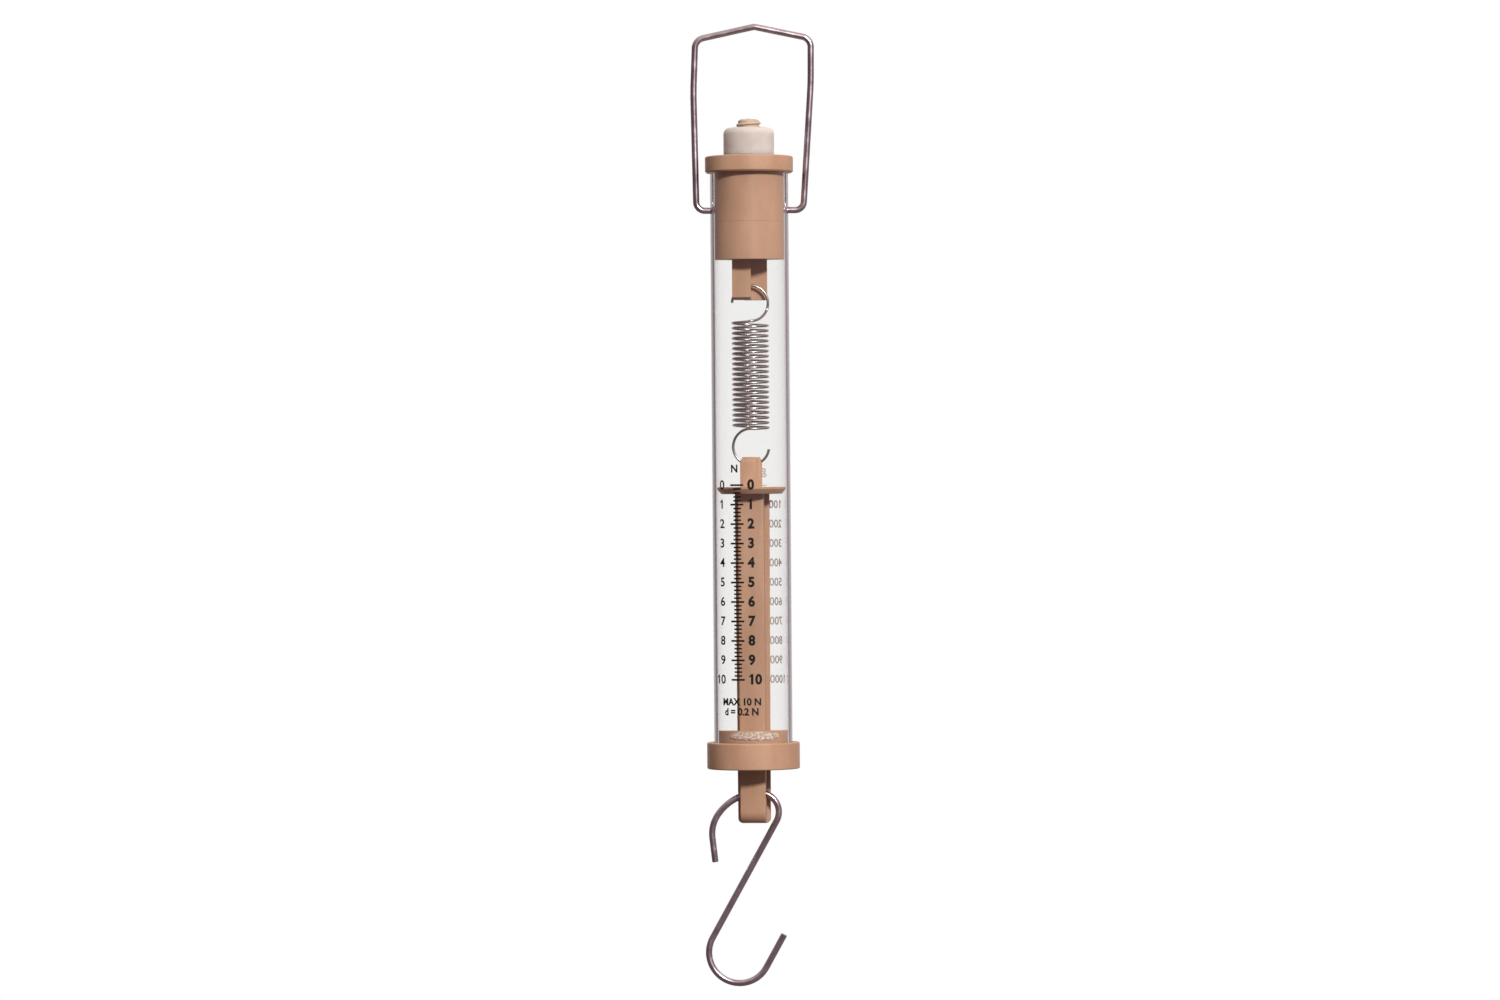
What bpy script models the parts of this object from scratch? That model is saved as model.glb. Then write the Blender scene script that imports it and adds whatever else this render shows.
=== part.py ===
"""Tubular pull scale, 0 to 10 N: a clear tube with moulded caps hangs on a wire bail, and a coil
spring inside it carries a plunger with an indicator disc and an S-hook.

Metres, +Z up, and the printed front of the tube faces -Y. The origin is the hang point, under the
crown of the bail. Pieces on the tube's axis are drawn with x and y measured from that axis.
"""

import math

import bmesh
import bpy
from mathutils import Matrix, Vector

MM = 0.001

# ---- Driving dimensions ----------------------------------------------------------------------
GAP = 0.3 * MM  # running and seating clearance between neighbours
AXIS_X = -2.0 * MM  # the tube hangs this far to the left of the bail's crown
TURN_STEPS = 64  # facets round a turned piece
HOLE_SIDES = 24
CORNER_STEP = math.radians(18)  # along the round corners of moulded pieces
BEND_STEP = math.radians(10)  # along the bends of the bail and the hook
MERGE = 0.01 * MM
THROUGH = 1.2  # how much further than a wall its cutter reaches
OVERLAP = 0.5 * MM  # how far solids reach into each other before they are joined
INSET = 0.2 * MM  # keeps the faces of joined solids out of one plane
EMPTY_SIZE = 5 * MM

# Clear tube
TUBE_RADIUS = 12.7 * MM
TUBE_BORE = 11.5 * MM
TUBE_TOP = -46.5 * MM
TUBE_BOTTOM = -234.3 * MM

# Top cap: a flange over a long plug
TOP_FLANGE_RADIUS = 14.25 * MM
TOP_FLANGE_TOP = -40.9 * MM
TOP_FLANGE_BOTTOM = -46.2 * MM
PLUG_RADIUS = 11.2 * MM
TOP_PLUG_BOTTOM = -74.5 * MM
POCKET_TOP = -51.0 * MM
FLANGE_CHAMFER = 0.5 * MM

# Bottom cap: a thick flange with a socket for the tube, and a short plug
BOTTOM_FLANGE_RADIUS = 15.0 * MM
BOTTOM_PLUG_TOP = -226.2 * MM
BOTTOM_FLANGE_TOP = -230.3 * MM
BOTTOM_FLANGE_BOTTOM = -238.9 * MM
SOCKET_BOTTOM = TUBE_BOTTOM - GAP

# Zero nut
NUT_RADIUS = 8.2 * MM
NUT_TOP = -31.6 * MM
NUT_BOTTOM = TOP_FLANGE_TOP + GAP
NUT_ROUND = 2.0 * MM
NUT_ROUND_STEPS = 5

# Spring hanger: a stud, a guide block, and a Z-shaped foot whose web holds the spring
STUD_RADIUS = 4.0 * MM
STUD_TIP_RADIUS = 3.0 * MM
STUD_CHAMFER = 1.2 * MM
STUD_TOP = -28.9 * MM
BLOCK_TOP = -55.5 * MM
BLOCK_HALF_WIDTH = 5.65 * MM
BLOCK_HALF_DEPTH = 4.0 * MM
FOOT_TOP = -72.0 * MM
HANGER_BOTTOM = -87.6 * MM
WEB_LEFT = -1.7 * MM
WEB_RIGHT = 0.3 * MM
FOOT_PLATE = 2.0 * MM
WEB_HOLE_Z = -82.6 * MM
WEB_HOLE_RADIUS = 1.0 * MM

# Spring: 21 turns, right-handed, with a round hook at each end
SPRING_WIRE_RADIUS = 0.425 * MM
COIL_RADIUS = 5.675 * MM
COIL_TURNS = 21
COIL_POINTS = 12  # per turn
COIL_TOP = -94.55 * MM
COIL_BOTTOM = -129.1 * MM
HOOK_RADIUS = 5.8 * MM
UPPER_HOOK_Z = -88.6 * MM
LOWER_HOOK_Z = -134.8 * MM
UPPER_HOOK_TIP = math.radians(178)
LOWER_HOOK_TIP = math.radians(352)
HOOK_STEP = math.radians(15)
HOOK_BLEND = math.radians(75)  # part of each hook in which the wire moves out to the coil

# Plunger: a post, an indicator disc, and a rod of hat-shaped section with an eye
PLUNGER_TURN = math.radians(-4)
POST_TOP = -138.1 * MM
POST_HALF_WIDTH = 3.4 * MM
POST_FRONT = -1.6 * MM
POST_BACK = 2.0 * MM
POST_BEVEL = 1.2 * MM
PAD_FRONT = -4.0 * MM
PAD_RIGHT = 1.9 * MM
PAD_INSET = 0.1 * MM  # the pad stands this far inside the post's left side and top
POST_HOLE_Z = -140.05 * MM
POST_HOLE_RADIUS = 1.25 * MM
DISC_TOP = -147.8 * MM
DISC_RIM_BOTTOM = -148.5 * MM
DISC_BOTTOM = -150.0 * MM
DISC_RADIUS = 11.1 * MM
DISC_LOWER_RADIUS = 9.8 * MM
SPINE_HALF_WIDTH = 4.1 * MM
SPINE_FRONT = -4.8 * MM
STRIP_HALF_WIDTH = 5.25 * MM
STRIP_TOP_HALF_WIDTH = 5.65 * MM  # moulding draft: the rod is wider under the disc
STRIP_FRONT = 2.0 * MM
STRIP_BACK = 4.2 * MM
ROD_BOTTOM = -256.7 * MM
SPINE_ROUND = 4.0 * MM
STRIP_ROUND = 1.6 * MM
EYE_Y = -0.6 * MM
EYE_Z = -246.9 * MM
EYE_RADIUS = 2.0 * MM

# Bail: the corners of its centreline, left pin to right pin, as x, z and bend radius in mm
WIRE_RADIUS = 1.05 * MM
PIN_Z = -58.3 * MM
PIN_END = 6.9 * MM
PIN_HOLE_RADIUS = WIRE_RADIUS + GAP
BAIL_CORNERS = [
    (-17.1, -58.3, 2.8),
    (-17.8, -20.0, 60.0),
    (-17.1, -3.0, 3.4),
    (2.0, 1.1, 2.5),
    (20.3, -2.8, 3.4),
    (20.2, -17.0, 60.0),
    (17.5, -58.3, 2.8),
]

# S-hook: from its upper tip, each bend is a length in mm, or a radius in mm and an angle in
# degrees, positive to the left
HOOK_TIP = Vector((-12.6, 0, -269.1)) * MM
HOOK_HEADING = math.radians(96.6)
HOOK_BENDS = [
    ("straight", 7.9),
    ("bend", 11.0, -40.1),
    ("bend", 16.0, -58.6),
    ("bend", 6.15, -117.0),
    ("straight", 43.1),
    ("bend", 9.9, 180.0),
    ("straight", 12.2),
]


# ---- Scene and materials ---------------------------------------------------------------------
def clear_scene():
    for obj in list(bpy.data.objects):
        bpy.data.objects.remove(obj, do_unlink=True)


def new_collection(name):
    collection = bpy.data.collections.new(name)
    bpy.context.scene.collection.children.link(collection)
    return collection


def new_material(name, colour, roughness, metallic=0.0, alpha=1.0):
    material = bpy.data.materials.new(name)
    material.use_nodes = True
    shader = material.node_tree.nodes["Principled BSDF"]
    shader.inputs["Base Color"].default_value = (*colour, 1.0)
    shader.inputs["Roughness"].default_value = roughness
    shader.inputs["Metallic"].default_value = metallic
    shader.inputs["Alpha"].default_value = alpha
    material.diffuse_color = (*colour, alpha)
    return material


# ---- Shapes ----------------------------------------------------------------------------------
def mesh_object(name, bm, collection):
    mesh = bpy.data.meshes.new(name)
    bm.to_mesh(mesh)
    bm.free()
    obj = bpy.data.objects.new(name, mesh)
    collection.objects.link(obj)
    return obj


def turned(name, profile, collection, bored=False):
    """A solid turned about Z. The profile lists (radius, z), down the outer side."""
    bm = bmesh.new()
    verts = [bm.verts.new((radius, 0, z)) for radius, z in profile]
    for first, second in zip(verts, verts[1:]):
        bm.edges.new((first, second))
    if bored:
        bm.edges.new((verts[-1], verts[0]))
    obj = mesh_object(name, bm, collection)
    screw = obj.modifiers.new("turn", "SCREW")
    screw.steps = TURN_STEPS
    screw.render_steps = TURN_STEPS
    screw.use_merge_vertices = True
    screw.merge_threshold = MERGE
    screw.use_smooth_shade = True
    return obj


def box(name, low, high, collection):
    """A box between two corners."""
    low, high = Vector(low), Vector(high)
    bm = bmesh.new()
    bmesh.ops.create_cube(bm, size=1.0)
    bmesh.ops.scale(bm, vec=high - low, verts=bm.verts)
    bmesh.ops.translate(bm, vec=(low + high) / 2, verts=bm.verts)
    return mesh_object(name, bm, collection)


def rod_along_x(name, radius, half_length, y, z, collection):
    """A round bar along X, centred on the axis of the tube."""
    bm = bmesh.new()
    bmesh.ops.create_cone(
        bm, cap_ends=True, segments=HOLE_SIDES, radius1=radius, radius2=radius, depth=2 * half_length
    )
    bmesh.ops.rotate(bm, verts=bm.verts, matrix=Matrix.Rotation(math.pi / 2, 3, "Y"))
    bmesh.ops.translate(bm, vec=(0, y, z), verts=bm.verts)
    return mesh_object(name, bm, collection)


def rounded(corners, step, closed=False):
    """Points along a polyline of (a, b, radius) corners, with an arc at each corner."""
    count = len(corners)
    points = []
    for i, (a, b, radius) in enumerate(corners):
        here = Vector((a, b))
        if radius == 0 or not closed and i in (0, count - 1):
            points.append(here)
            continue
        before = (Vector(corners[i - 1][:2]) - here).normalized()
        after = (Vector(corners[(i + 1) % count][:2]) - here).normalized()
        half = before.angle(after) / 2
        middle = here + (before + after).normalized() * radius / math.sin(half)
        start = here + before * radius / math.tan(half) - middle
        sweep = (-start).angle_signed(middle - here - after * radius / math.tan(half))
        arcs = max(1, math.ceil(abs(sweep) / step))
        for k in range(arcs + 1):
            points.append(middle + Matrix.Rotation(-sweep * k / arcs, 2) @ start)
    return points


def plate(name, outline, across, low, high, collection):
    """A flat outline given thickness from low to high along X or Y. The outline's second number
    is z, and its first is whichever of x and y is left."""
    curve = bpy.data.curves.new(name, "CURVE")
    curve.dimensions = "2D"
    curve.fill_mode = "BOTH"
    curve.extrude = (high - low) / 2
    spline = curve.splines.new("POLY")
    spline.points.add(len(outline) - 1)
    for point, (a, z) in zip(spline.points, outline):
        point.co = (a, z, 0, 1)
    spline.use_cyclic_u = True
    flat = bpy.data.objects.new(name, curve)
    collection.objects.link(flat)
    middle = (low + high) / 2
    upright = Matrix.Rotation(math.pi / 2, 4, "X")
    sideways = Matrix.Rotation(math.pi / 2, 4, "Z")
    if across == "X":
        flat.matrix_world = Matrix.Translation((middle, 0, 0)) @ sideways @ upright
    else:
        flat.matrix_world = Matrix.Translation((0, middle, 0)) @ upright
    return curve_to_mesh(flat, collection)


def curve_to_mesh(curved, collection):
    """The same piece as a welded mesh, so that it can be cut and joined."""
    bpy.context.view_layer.update()
    evaluated = curved.evaluated_get(bpy.context.evaluated_depsgraph_get())
    mesh = bpy.data.meshes.new_from_object(evaluated)
    mesh.transform(curved.matrix_world)
    bm = bmesh.new()
    bm.from_mesh(mesh)
    bmesh.ops.remove_doubles(bm, verts=bm.verts, dist=MERGE)
    bmesh.ops.recalc_face_normals(bm, faces=bm.faces)
    bm.to_mesh(mesh)
    bm.free()
    name = curved.name
    data = curved.data
    bpy.data.objects.remove(curved, do_unlink=True)
    bpy.data.curves.remove(data)
    obj = bpy.data.objects.new(name, mesh)
    collection.objects.link(obj)
    return obj


def wire(name, points, radius, collection):
    """A round wire along a polyline."""
    curve = bpy.data.curves.new(name, "CURVE")
    curve.dimensions = "3D"
    curve.bevel_depth = radius
    curve.bevel_resolution = 2
    curve.use_fill_caps = True
    spline = curve.splines.new("POLY")
    spline.points.add(len(points) - 1)
    for point, place in zip(spline.points, points):
        point.co = (*place, 1)
    spline.use_smooth = True
    obj = bpy.data.objects.new(name, curve)
    collection.objects.link(obj)
    return obj


def boolean(obj, tool, operation):
    modifier = obj.modifiers.new(tool.name, "BOOLEAN")
    modifier.operation = operation
    modifier.solver = "EXACT"
    modifier.object = tool
    tool.hide_render = True
    tool.display_type = "WIRE"


def mount_on(obj, pivot, parent, material):
    """Moves a piece's origin to the pivot, which stays with its parent, and finishes it."""
    obj.data.transform(Matrix.Translation((0, 0, -pivot)))
    obj.location = (AXIS_X, 0, pivot)
    obj.data.materials.append(material)
    obj.parent = parent
    obj.matrix_parent_inverse = parent.matrix_world.inverted()


def place_tool(tool, turn=0.0):
    """Puts a cutter or a joined solid on the axis of the tube."""
    tool.matrix_world = Matrix.Translation((AXIS_X, 0, 0)) @ Matrix.Rotation(turn, 4, "Z")
    return tool


def pivot(name, z, parent, collection):
    """An empty on a joint's axis."""
    empty = bpy.data.objects.new(name, None)
    empty.empty_display_size = EMPTY_SIZE
    empty.location = (AXIS_X, 0, z)
    collection.objects.link(empty)
    if parent:
        empty.parent = parent
        empty.matrix_parent_inverse = parent.matrix_world.inverted()
    bpy.context.view_layer.update()
    return empty


# ---- Pieces ----------------------------------------------------------------------------------
def make_tube(parts, tools):
    profile = [
        (TUBE_BORE, TUBE_TOP),
        (TUBE_RADIUS, TUBE_TOP),
        (TUBE_RADIUS, TUBE_BOTTOM),
        (TUBE_BORE, TUBE_BOTTOM),
    ]
    tube = turned("tube", profile, parts, bored=True)
    holes = rod_along_x("tube_pin_holes", PIN_HOLE_RADIUS, THROUGH * TUBE_RADIUS, 0, PIN_Z, tools)
    boolean(tube, place_tool(holes), "DIFFERENCE")
    return tube


def make_top_cap(parts, tools):
    bore = STUD_RADIUS + GAP
    profile = [
        (bore, TOP_FLANGE_TOP),
        (TOP_FLANGE_RADIUS - FLANGE_CHAMFER, TOP_FLANGE_TOP),
        (TOP_FLANGE_RADIUS, TOP_FLANGE_TOP - FLANGE_CHAMFER),
        (TOP_FLANGE_RADIUS, TOP_FLANGE_BOTTOM + FLANGE_CHAMFER),
        (TOP_FLANGE_RADIUS - FLANGE_CHAMFER, TOP_FLANGE_BOTTOM),
        (PLUG_RADIUS, TOP_FLANGE_BOTTOM),
        (PLUG_RADIUS, TOP_PLUG_BOTTOM),
        (bore, TOP_PLUG_BOTTOM),
    ]
    cap = turned("top_cap", profile, parts, bored=True)
    half_width = BLOCK_HALF_WIDTH + GAP
    half_depth = BLOCK_HALF_DEPTH + GAP
    pocket = box(
        "hanger_pocket",
        (-half_width, -half_depth, TOP_PLUG_BOTTOM - OVERLAP),
        (half_width, half_depth, POCKET_TOP),
        tools,
    )
    boolean(cap, place_tool(pocket), "DIFFERENCE")
    holes = rod_along_x("cap_pin_holes", PIN_HOLE_RADIUS, THROUGH * PLUG_RADIUS, 0, PIN_Z, tools)
    boolean(cap, place_tool(holes), "DIFFERENCE")
    return cap


def make_bottom_cap(parts, tools):
    centre = SPINE_HALF_WIDTH / 2
    profile = [
        (centre, BOTTOM_PLUG_TOP),
        (PLUG_RADIUS, BOTTOM_PLUG_TOP),
        (PLUG_RADIUS, SOCKET_BOTTOM),
        (TUBE_RADIUS + GAP, SOCKET_BOTTOM),
        (TUBE_RADIUS + GAP, BOTTOM_FLANGE_TOP),
        (BOTTOM_FLANGE_RADIUS - FLANGE_CHAMFER, BOTTOM_FLANGE_TOP),
        (BOTTOM_FLANGE_RADIUS, BOTTOM_FLANGE_TOP - FLANGE_CHAMFER),
        (BOTTOM_FLANGE_RADIUS, BOTTOM_FLANGE_BOTTOM + FLANGE_CHAMFER),
        (BOTTOM_FLANGE_RADIUS - FLANGE_CHAMFER, BOTTOM_FLANGE_BOTTOM),
        (centre, BOTTOM_FLANGE_BOTTOM),
    ]
    cap = turned("bottom_cap", profile, parts, bored=True)
    low = BOTTOM_FLANGE_BOTTOM - OVERLAP
    high = BOTTOM_PLUG_TOP + OVERLAP
    spine_slot = box(
        "spine_slot",
        (-SPINE_HALF_WIDTH - GAP, SPINE_FRONT - GAP, low),
        (SPINE_HALF_WIDTH + GAP, STRIP_FRONT + OVERLAP, high),
        tools,
    )
    strip_slot = box(
        "strip_slot",
        (-STRIP_TOP_HALF_WIDTH - GAP, STRIP_FRONT - GAP, low),
        (STRIP_TOP_HALF_WIDTH + GAP, STRIP_BACK + GAP, high),
        tools,
    )
    for slot in (spine_slot, strip_slot):
        boolean(cap, place_tool(slot, PLUNGER_TURN), "DIFFERENCE")
    return cap


def make_zero_nut(parts):
    bore = STUD_RADIUS + GAP
    profile = [(bore, NUT_TOP)]
    for k in range(NUT_ROUND_STEPS + 1):
        turn = math.pi / 2 * k / NUT_ROUND_STEPS
        radius = NUT_RADIUS - NUT_ROUND * (1 - math.sin(turn))
        profile.append((radius, NUT_TOP - NUT_ROUND * (1 - math.cos(turn))))
    profile += [(NUT_RADIUS, NUT_BOTTOM), (bore, NUT_BOTTOM)]
    return turned("zero_nut", profile, parts, bored=True)


def make_spring_hanger(parts, tools):
    profile = [
        (0, STUD_TOP),
        (STUD_TIP_RADIUS, STUD_TOP),
        (STUD_RADIUS, STUD_TOP - STUD_CHAMFER),
        (STUD_RADIUS, BLOCK_TOP - OVERLAP),
        (0, BLOCK_TOP - OVERLAP),
    ]
    hanger = turned("spring_hanger", profile, parts)
    block = box(
        "hanger_block",
        (-BLOCK_HALF_WIDTH, -BLOCK_HALF_DEPTH, HANGER_BOTTOM),
        (BLOCK_HALF_WIDTH, BLOCK_HALF_DEPTH, BLOCK_TOP),
        tools,
    )
    boolean(hanger, place_tool(block), "UNION")
    low = HANGER_BOTTOM - OVERLAP
    beyond = 2 * BLOCK_HALF_WIDTH
    front_right = box(
        "foot_front_right",
        (WEB_RIGHT, -beyond, low),
        (beyond, BLOCK_HALF_DEPTH - FOOT_PLATE, FOOT_TOP),
        tools,
    )
    rear_left = box(
        "foot_rear_left",
        (-beyond, FOOT_PLATE - BLOCK_HALF_DEPTH, low),
        (WEB_LEFT, beyond, FOOT_TOP),
        tools,
    )
    web_hole = rod_along_x("web_hole", WEB_HOLE_RADIUS, beyond / 2, 0, WEB_HOLE_Z, tools)
    for tool in (front_right, rear_left, web_hole):
        boolean(hanger, place_tool(tool), "DIFFERENCE")
    return hanger


def hook_points(centre_z, start, end, coil_at_start):
    """A round spring hook in the XZ plane, whose coil end moves forward to meet the coil."""
    count = round(abs(end - start) / HOOK_STEP)
    points = []
    for k in range(count + 1):
        angle = start + (end - start) * k / count
        to_coil = abs(angle - (start if coil_at_start else end))
        share = max(0.0, 1 - to_coil / HOOK_BLEND)
        forward = COIL_RADIUS * share * share * (3 - 2 * share)
        points.append((HOOK_RADIUS * math.cos(angle), -forward, centre_z + HOOK_RADIUS * math.sin(angle)))
    return points


def make_spring(parts):
    quarter = math.pi / 2
    upper = hook_points(UPPER_HOOK_Z, UPPER_HOOK_TIP, -quarter, coil_at_start=False)
    lower = hook_points(LOWER_HOOK_Z, quarter, LOWER_HOOK_TIP, coil_at_start=True)
    steps = COIL_TURNS * COIL_POINTS
    coil = []
    for k in range(1, steps):
        angle = -quarter - 2 * math.pi * k / COIL_POINTS
        z = COIL_TOP + (COIL_BOTTOM - COIL_TOP) * k / steps
        coil.append((COIL_RADIUS * math.cos(angle), COIL_RADIUS * math.sin(angle), z))
    return wire("spring", upper + coil + lower, SPRING_WIRE_RADIUS, parts)


def make_plunger(parts, tools):
    profile = [
        (0, DISC_TOP),
        (DISC_RADIUS, DISC_TOP),
        (DISC_RADIUS, DISC_RIM_BOTTOM),
        (DISC_LOWER_RADIUS, DISC_BOTTOM),
        (0, DISC_BOTTOM),
    ]
    plunger = turned("plunger", profile, parts)
    inside = (DISC_TOP + DISC_BOTTOM) / 2  # where the post and the rod end, within the disc
    strip = plate(
        "rod_strip",
        rounded(
            [
                (-STRIP_TOP_HALF_WIDTH, inside, 0),
                (-STRIP_HALF_WIDTH, ROD_BOTTOM, STRIP_ROUND),
                (STRIP_HALF_WIDTH, ROD_BOTTOM, STRIP_ROUND),
                (STRIP_TOP_HALF_WIDTH, inside, 0),
            ],
            CORNER_STEP,
            closed=True,
        ),
        "Y",
        STRIP_FRONT,
        STRIP_BACK,
        tools,
    )
    spine = plate(
        "rod_spine",
        rounded(
            [
                (SPINE_FRONT, inside - INSET, 0),
                (SPINE_FRONT, ROD_BOTTOM + INSET, SPINE_ROUND),
                (STRIP_FRONT + OVERLAP, ROD_BOTTOM + INSET, 0),
                (STRIP_FRONT + OVERLAP, inside - INSET, 0),
            ],
            CORNER_STEP,
            closed=True,
        ),
        "X",
        -SPINE_HALF_WIDTH,
        SPINE_HALF_WIDTH,
        tools,
    )
    post = plate(
        "post_plate",
        [
            (POST_FRONT, inside),
            (POST_BACK, inside),
            (POST_BACK, POST_TOP - POST_BEVEL / 2),
            (POST_BACK - POST_BEVEL / 2, POST_TOP),
            (POST_FRONT, POST_TOP),
        ],
        "X",
        -POST_HALF_WIDTH,
        POST_HALF_WIDTH,
        tools,
    )
    pad = plate(
        "post_pad",
        [
            (PAD_FRONT, inside - INSET),
            (POST_FRONT + OVERLAP, inside - INSET),
            (POST_FRONT + OVERLAP, POST_TOP - PAD_INSET),
            (POST_FRONT - POST_BEVEL, POST_TOP - PAD_INSET),
            (PAD_FRONT, POST_TOP - PAD_INSET - POST_BEVEL),
        ],
        "X",
        PAD_INSET - POST_HALF_WIDTH,
        PAD_RIGHT,
        tools,
    )
    for solid in (strip, spine, post, pad):
        boolean(plunger, place_tool(solid, PLUNGER_TURN), "UNION")
    post_hole = rod_along_x("post_hole", POST_HOLE_RADIUS, 2 * POST_HALF_WIDTH, 0, POST_HOLE_Z, tools)
    boolean(plunger, place_tool(post_hole), "DIFFERENCE")
    eye = rod_along_x("hook_eye", EYE_RADIUS, 2 * SPINE_HALF_WIDTH, EYE_Y, EYE_Z, tools)
    boolean(plunger, place_tool(eye, PLUNGER_TURN), "DIFFERENCE")
    return plunger


def make_bail(parts):
    corners = [(x * MM, z * MM, radius * MM) for x, z, radius in BAIL_CORNERS]
    corners = [(-PIN_END, PIN_Z, 0)] + corners + [(PIN_END, PIN_Z, 0)]
    points = [(x, 0, z) for x, z in rounded(corners, BEND_STEP)]
    return wire("bail", points, WIRE_RADIUS, parts)


def make_s_hook(parts):
    """The hook lies in the plane of the eye's axis and Z."""
    points = [HOOK_TIP.copy()]
    heading = HOOK_HEADING
    for kind, size, *turn in HOOK_BENDS:
        steps = 1
        step_turn = 0.0
        stride = size * MM
        if kind == "bend":
            sweep = math.radians(turn[0])
            steps = math.ceil(abs(sweep) / BEND_STEP)
            step_turn = sweep / steps
            stride = 2 * size * MM * math.sin(abs(step_turn) / 2)
        for _ in range(steps):
            heading += step_turn / 2
            points.append(points[-1] + stride * Vector((math.cos(heading), 0, math.sin(heading))))
            heading += step_turn / 2
    return wire("s_hook", [point + Vector((0, EYE_Y, 0)) for point in points], WIRE_RADIUS, parts)


# ---- Assembly --------------------------------------------------------------------------------
def main():
    clear_scene()
    parts = new_collection("hanging_spring_scale")
    tools = new_collection("cutters")

    tan = new_material("tan_plastic", (0.56, 0.33, 0.20), 0.45)
    clear = new_material("clear_plastic", (0.9, 0.92, 0.9), 0.05, alpha=0.3)
    nylon = new_material("white_nylon", (0.72, 0.66, 0.60), 0.5)
    spring_steel = new_material("spring_steel", (0.55, 0.54, 0.54), 0.25, metallic=1.0)
    plated_wire = new_material("plated_wire", (0.42, 0.37, 0.38), 0.3, metallic=1.0)

    root = pivot("bail_root", 0, None, parts)
    pins = pivot("casing_pivot", PIN_Z, root, parts)
    nut_axis = pivot("nut_axis", TOP_FLANGE_TOP, pins, parts)
    hanger_axis = pivot("hanger_axis", TOP_FLANGE_TOP, pins, parts)
    plunger_axis = pivot("plunger_axis", POST_HOLE_Z, hanger_axis, parts)
    eye = pivot("hook_pivot", EYE_Z, plunger_axis, parts)

    mount_on(make_bail(parts), 0, root, plated_wire)
    mount_on(make_tube(parts, tools), PIN_Z, pins, clear)
    mount_on(make_top_cap(parts, tools), PIN_Z, pins, tan)
    mount_on(make_bottom_cap(parts, tools), PIN_Z, pins, tan)
    mount_on(make_zero_nut(parts), TOP_FLANGE_TOP, nut_axis, nylon)
    mount_on(make_spring_hanger(parts, tools), TOP_FLANGE_TOP, hanger_axis, tan)
    mount_on(make_spring(parts), WEB_HOLE_Z, hanger_axis, spring_steel)
    mount_on(make_plunger(parts, tools), POST_HOLE_Z, plunger_axis, tan)
    s_hook = make_s_hook(parts)
    mount_on(s_hook, EYE_Z, eye, plated_wire)
    s_hook.rotation_euler.z = PLUNGER_TURN


main()
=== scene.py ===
"""The looks of a 10 N tubular pull scale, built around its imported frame.

Metres, +Z up, and the printed front of the tube faces -Y. Every piece is drawn round the axis of the
tube, with x and y measured from it, and put in place by finish_piece.
"""

import math

import bmesh
import bpy
from mathutils import Matrix, Vector, noise


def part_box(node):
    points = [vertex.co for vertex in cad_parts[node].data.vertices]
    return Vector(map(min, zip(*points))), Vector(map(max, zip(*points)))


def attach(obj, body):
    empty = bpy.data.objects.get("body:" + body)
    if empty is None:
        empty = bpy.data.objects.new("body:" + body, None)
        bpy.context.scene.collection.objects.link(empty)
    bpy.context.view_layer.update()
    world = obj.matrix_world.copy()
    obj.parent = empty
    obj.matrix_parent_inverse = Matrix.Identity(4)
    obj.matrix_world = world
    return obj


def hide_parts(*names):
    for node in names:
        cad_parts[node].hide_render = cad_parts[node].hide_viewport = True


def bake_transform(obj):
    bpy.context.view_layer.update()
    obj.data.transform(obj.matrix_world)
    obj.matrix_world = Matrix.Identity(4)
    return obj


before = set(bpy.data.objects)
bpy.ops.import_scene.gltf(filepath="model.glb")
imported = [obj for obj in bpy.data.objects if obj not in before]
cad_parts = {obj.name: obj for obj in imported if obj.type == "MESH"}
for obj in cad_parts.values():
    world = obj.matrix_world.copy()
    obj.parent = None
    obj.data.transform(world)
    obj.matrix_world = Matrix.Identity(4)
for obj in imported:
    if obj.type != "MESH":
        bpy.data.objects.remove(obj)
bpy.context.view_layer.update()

MM = 0.001

# ---- Sizes, from the frame where it shows them ------------------------------------------------
GAP = 0.3 * MM
THROUGH = 1.2  # reach of a cutting rod, as a share of what it cuts
TUBE_LOW, TUBE_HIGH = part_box("tube")
TOP_LOW, TOP_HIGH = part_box("top_cap")
BOTTOM_LOW, BOTTOM_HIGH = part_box("bottom_cap")
NUT_LOW, NUT_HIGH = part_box("zero_nut")
HANGER_LOW, HANGER_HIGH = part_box("spring_hanger")
PLUNGER_LOW, PLUNGER_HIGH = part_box("plunger")

AXIS_X = (TUBE_LOW.x + TUBE_HIGH.x) / 2
TUBE_WALL = 1.2 * MM
TUBE_RADIUS = (TUBE_HIGH.x - TUBE_LOW.x) / 2
TUBE_BORE = TUBE_RADIUS - TUBE_WALL
TUBE_EDGE = 0.12 * MM

TOP_FLANGE_RADIUS = (TOP_HIGH.x - TOP_LOW.x) / 2
TOP_FLANGE_BOTTOM = TUBE_HIGH.z + GAP
BOTTOM_FLANGE_RADIUS = (BOTTOM_HIGH.x - BOTTOM_LOW.x) / 2
BOTTOM_FLANGE_HEIGHT = 8.6 * MM
BOTTOM_FLANGE_TOP = BOTTOM_LOW.z + BOTTOM_FLANGE_HEIGHT
PLUG_RADIUS = TUBE_BORE - GAP
FLANGE_CHAMFER = 0.5 * MM
CHAMFER_ROUND = 0.1 * MM
CAP_ROUND = 0.25 * MM
SOCKET_ROUND = 0.15 * MM
POCKET_TOP = -51.0 * MM
PIN_Z = -58.3 * MM
PARTING_Z = -62.3 * MM
PARTING_SIZE = 0.12 * MM

GATE_HEIGHT = 0.25 * MM
GATE_DEPTH = 0.3 * MM
GATE_RADIUS = 0.45 * MM
GATE_BASE_RADIUS = 0.6 * MM
GATE_ROUND = 0.12 * MM
GATE_RISE = 1.0 * MM
GATE_ANGLE = math.radians(-17)
GATE_SIDES = 24

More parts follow.
